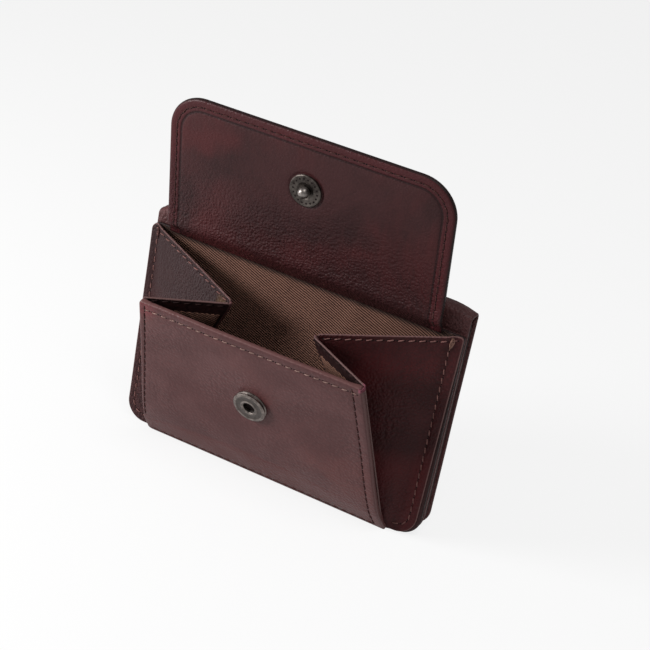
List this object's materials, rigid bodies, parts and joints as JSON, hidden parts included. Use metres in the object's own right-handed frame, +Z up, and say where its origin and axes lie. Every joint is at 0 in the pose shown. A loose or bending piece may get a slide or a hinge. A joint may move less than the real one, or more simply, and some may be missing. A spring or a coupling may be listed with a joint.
{
  "type": "wallet",
  "caption": "Compact bifold leather wallet with a folding box coin pocket, gusseted sides and a snap flap, standing with its pocket open.",
  "frame": {"origin": "middle of the coin pocket wall's bottom edge, on the surface that the wallet stands on", "axes": "+X to the right along the width, +Y from the coin pocket to the back cover, +Z up towards the spine and the flap"},
  "size_m": [0.095, 0.0344, 0.1038],
  "materials": {
    "burgundy_leather": "burnished smooth leather",
    "dark_inner_leather": "matte leather",
    "brown_twill": "woven twill",
    "antique_metal": "dark antique plating"
  },
  "bodies": {
    "front_half": {"coin_back_wall": "burgundy_leather", "coin_lining": "brown_twill", "gusset_margin_left": "burgundy_leather", "gusset_margin_right": "burgundy_leather", "pocket_bottom_fold": "burgundy_leather", "cover_front_leaf": "burgundy_leather", "front_card_pocket_upper": "dark_inner_leather", "front_card_pocket_lower": "dark_inner_leather"},
    "spine": {"cover_spine": "burgundy_leather"},
    "back_half": {"back_cover": "burgundy_leather", "bill_lining": "dark_inner_leather", "bill_pocket": "dark_inner_leather"},
    "flap": {"flap_outer": "burgundy_leather", "flap_inner": "burgundy_leather", "snap_cap": "antique_metal", "snap_stud": "antique_metal"},
    "coin_front": {"front_panel": "burgundy_leather", "front_panel_lining": "dark_inner_leather", "snap_socket": "antique_metal", "socket_eyelet": "antique_metal"},
    "gusset_back_left": {"gusset_back_left": "burgundy_leather"},
    "gusset_back_right": {"gusset_back_right": "burgundy_leather"},
    "gusset_front_left": {"gusset_front_left": "burgundy_leather"},
    "gusset_front_right": {"gusset_front_right": "burgundy_leather"}
  },
  "joints": [
    {"name": "spine_front_bend", "type": "hinge", "parent": "front_half", "child": "spine", "pos_m": [0, 0.0008, 0.0678], "axis": [1, 0, 0], "range_deg": [0, 90]},
    {"name": "spine_back_bend", "type": "hinge", "parent": "spine", "child": "back_half", "pos_m": [0, 0.0063, 0.0678], "axis": [1, 0, 0], "range_deg": [0, 90]},
    {"name": "flap_fold", "type": "hinge", "parent": "front_half", "child": "flap", "pos_m": [0, -0.006, 0.061], "axis": [1, 0, 0], "range_deg": [0, 168.1]},
    {"name": "front_panel_fold", "type": "hinge", "parent": "front_half", "child": "coin_front", "pos_m": [0, -0.00265, 0], "axis": [1, 0, 0], "range_deg": [-24, 0]},
    {"name": "gusset_back_left_crease", "type": "hinge", "parent": "front_half", "child": "gusset_back_left", "pos_m": [-0.0384, -0.0025, 0], "axis": [-0.1067, 0, 0.9943], "range_deg": [0, 21.8]},
    {"name": "gusset_back_right_crease", "type": "hinge", "parent": "front_half", "child": "gusset_back_right", "pos_m": [0.0384, -0.0025, 0], "axis": [0.1067, 0, 0.9943], "range_deg": [-21.8, 0]},
    {"name": "gusset_front_left_crease", "type": "hinge", "parent": "coin_front", "child": "gusset_front_left", "pos_m": [-0.0384, -0.00279, -0.00006], "axis": [0.0946, -0.4049, 0.9094], "range_deg": [-26.5, 0]},
    {"name": "gusset_front_right_crease", "type": "hinge", "parent": "coin_front", "child": "gusset_front_right", "pos_m": [0.0384, -0.00279, -0.00006], "axis": [-0.0946, -0.4049, 0.9094], "range_deg": [0, 26.5]}
  ],
  "couplings": [
    {"joint": "spine_back_bend", "follows": "spine_front_bend", "ratio": 1},
    {"joint": "front_panel_fold", "follows": "flap_fold", "ratio": -0.14277},
    {"joint": "gusset_back_left_crease", "follows": "flap_fold", "ratio": 0.12963},
    {"joint": "gusset_back_right_crease", "follows": "flap_fold", "ratio": -0.12963},
    {"joint": "gusset_front_left_crease", "follows": "flap_fold", "ratio": -0.1574},
    {"joint": "gusset_front_right_crease", "follows": "flap_fold", "ratio": 0.1574}
  ]
}
